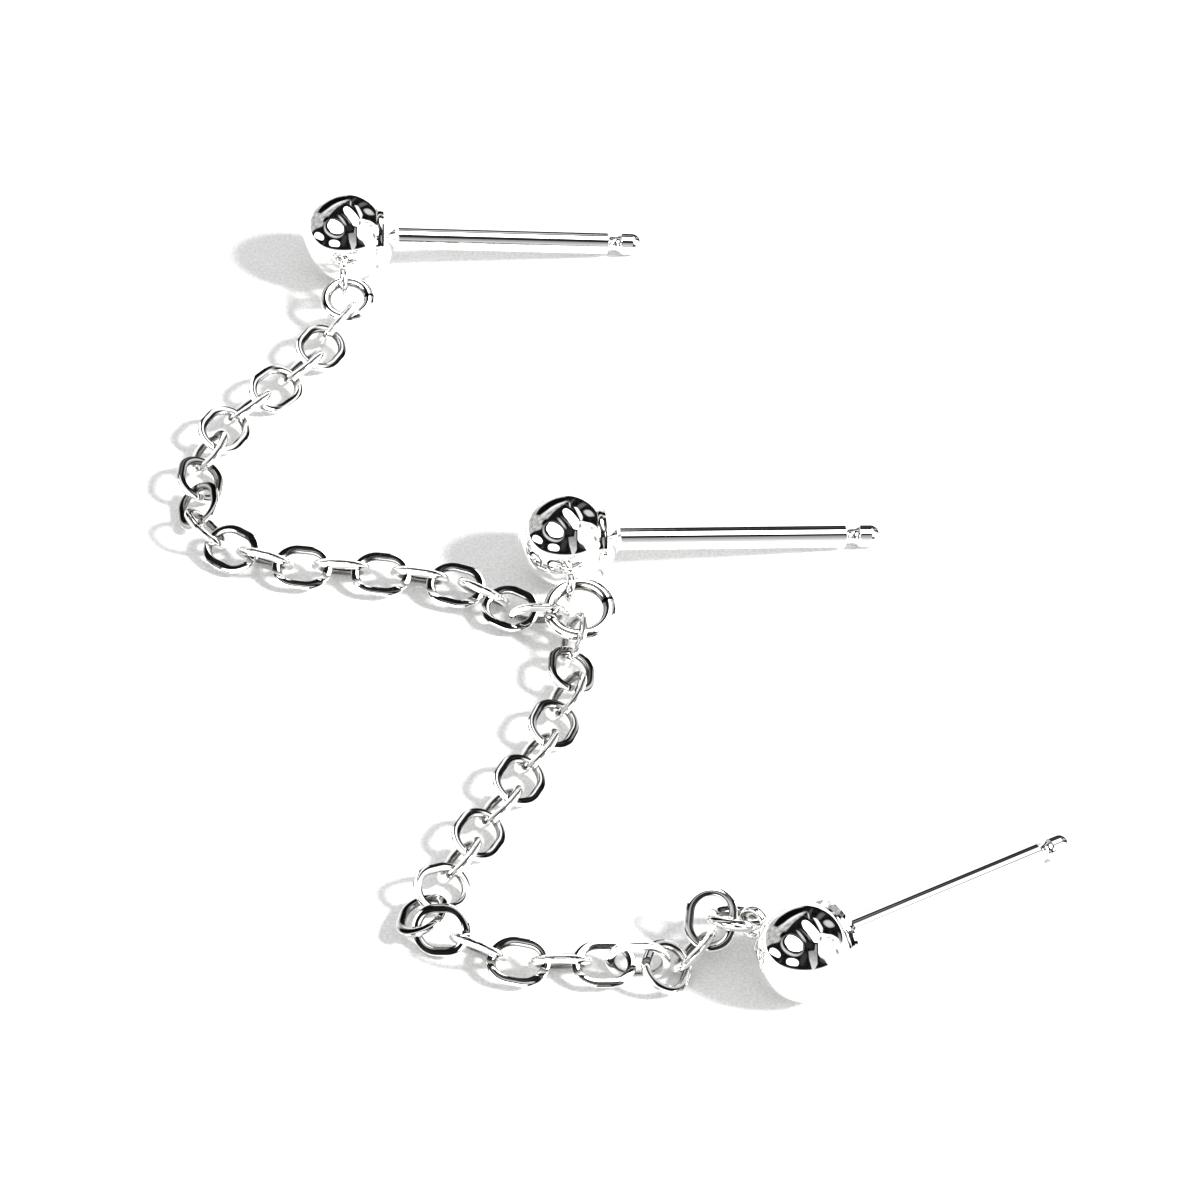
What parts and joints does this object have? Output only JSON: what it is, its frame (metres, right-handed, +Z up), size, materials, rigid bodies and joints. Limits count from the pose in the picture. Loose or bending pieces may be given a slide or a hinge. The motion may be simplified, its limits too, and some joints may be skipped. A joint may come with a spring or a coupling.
{
  "type": "chain stud earring",
  "caption": "Chain earring of polished silver: ball studs with grooved posts, joined by fine oval-link chain on jump rings, laid on a surface.",
  "frame": {"origin": "middle of the whole piece as it lies, on the surface under it", "axes": "+Z up from the surface; +X along the posts of studs A and B, roughly; +Y from stud C towards stud A"},
  "size_m": [0.0346, 0.0448, 0.0037],
  "materials": {
    "silver_studs": "polished silver",
    "silver_rings": "polished silver",
    "silver_chain": "polished silver"
  },
  "bodies": {
    "root": {"stud_a": "silver_studs", "stud_b": "silver_studs", "stud_c": "silver_studs", "ring_a": "silver_rings", "ring_b": "silver_rings", "ring_c": "silver_rings", "chain_ab_01": "silver_chain", "chain_ab_02": "silver_chain", "chain_ab_03": "silver_chain", "chain_ab_04": "silver_chain", "chain_ab_05": "silver_chain", "chain_ab_06": "silver_chain", "chain_ab_07": "silver_chain", "chain_ab_08": "silver_chain", "chain_ab_09": "silver_chain", "chain_ab_10": "silver_chain", "chain_ab_11": "silver_chain", "chain_ab_12": "silver_chain", "chain_ab_13": "silver_chain", "chain_ab_14": "silver_chain", "chain_ab_15": "silver_chain", "chain_ab_16": "silver_chain", "chain_ab_17": "silver_chain", "chain_ab_18": "silver_chain", "chain_ab_19": "silver_chain", "chain_ab_20": "silver_chain", "chain_bc_01": "silver_chain", "chain_bc_02": "silver_chain", "chain_bc_03": "silver_chain", "chain_bc_04": "silver_chain", "chain_bc_05": "silver_chain", "chain_bc_06": "silver_chain", "chain_bc_07": "silver_chain", "chain_bc_08": "silver_chain", "chain_bc_09": "silver_chain", "chain_bc_10": "silver_chain", "chain_bc_11": "silver_chain", "chain_bc_12": "silver_chain", "chain_bc_13": "silver_chain", "chain_bc_14": "silver_chain", "chain_bc_15": "silver_chain", "chain_bc_16": "silver_chain", "chain_bc_17": "silver_chain", "chain_bc_18": "silver_chain", "chain_bc_19": "silver_chain", "chain_bc_20": "silver_chain"}
  },
  "joints": []
}
